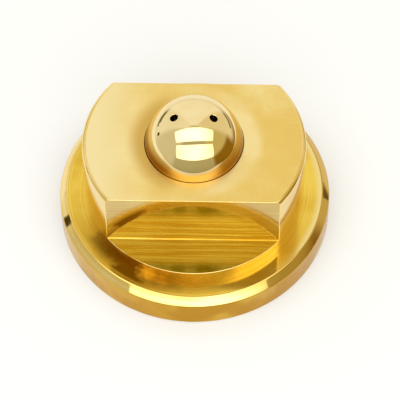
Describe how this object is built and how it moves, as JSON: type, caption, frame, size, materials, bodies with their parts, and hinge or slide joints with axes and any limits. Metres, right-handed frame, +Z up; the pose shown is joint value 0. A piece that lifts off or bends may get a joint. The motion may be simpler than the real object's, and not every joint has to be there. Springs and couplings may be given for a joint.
{
  "type": "water pressure regulator",
  "caption": "Round flanged brass piston regulator with a two-flat boss and a domed adjuster with pin-spanner holes, for water lines in caravans.",
  "frame": {"origin": "centre of the flat mounting face under the flange", "axes": "+Z up through the dome; the two wrench flats face -Y and +Y; the two spanner holes lie along X"},
  "size_m": [0.058, 0.058, 0.0348],
  "materials": {
    "brass": "polished and part milled",
    "brass_turned": "fine turned",
    "stainless": "bright machined",
    "spring_steel": "drawn wire",
    "zinc_steel": "zinc plated",
    "hardened_steel": "ground ball",
    "black_rubber": "moulded nitrile",
    "seat_rubber": "moulded nitrile, ground flat",
    "white_ptfe": "cut band"
  },
  "bodies": {
    "body": {"flange_body": "brass", "bonnet": "brass", "seat_ring": "brass_turned", "poppet_guide": "stainless", "strainer_ring": "stainless", "strainer_screen": "stainless", "retaining_clip": "spring_steel", "inlet_face_oring": "black_rubber", "outlet_face_oring": "black_rubber", "bonnet_oring": "black_rubber", "seat_oring": "black_rubber", "dome_oring": "black_rubber", "poppet_spring": "spring_steel"},
    "button": {"spring_button": "zinc_steel", "thrust_ball": "hardened_steel"},
    "dome": {"adjusting_dome": "brass"},
    "piston": {"piston": "brass_turned", "piston_oring": "black_rubber", "piston_guide_ring": "white_ptfe", "main_spring": "spring_steel"},
    "poppet": {"poppet": "stainless", "poppet_disc": "seat_rubber", "disc_washer": "stainless"}
  },
  "joints": [
    {"name": "adjuster_slide", "type": "slide", "parent": "body", "child": "button", "axis": [0, 0, 1], "range_m": [-0.0015, 0.003], "deforming": ["main_spring"]},
    {"name": "adjuster_turn", "type": "hinge", "parent": "button", "child": "dome", "pos_m": [0, 0, 0.0244], "axis": [0, 0, 1], "range_deg": [-450, 900]},
    {"name": "piston_slide", "type": "slide", "parent": "body", "child": "piston", "axis": [0, 0, 1], "range_m": [0, 0.00095], "stiffness_N_per_m": 10400, "deforming": ["main_spring"]},
    {"name": "poppet_slide", "type": "slide", "parent": "body", "child": "poppet", "axis": [0, 0, 1], "range_m": [0, 0.00095], "stiffness_N_per_m": 830, "deforming": ["poppet_spring"]}
  ],
  "couplings": [
    {"joint": "adjuster_slide", "follows": "adjuster_turn", "m_per_rad": 0.00015915},
    {"joint": "poppet_slide", "follows": "piston_slide", "ratio": 1}
  ]
}
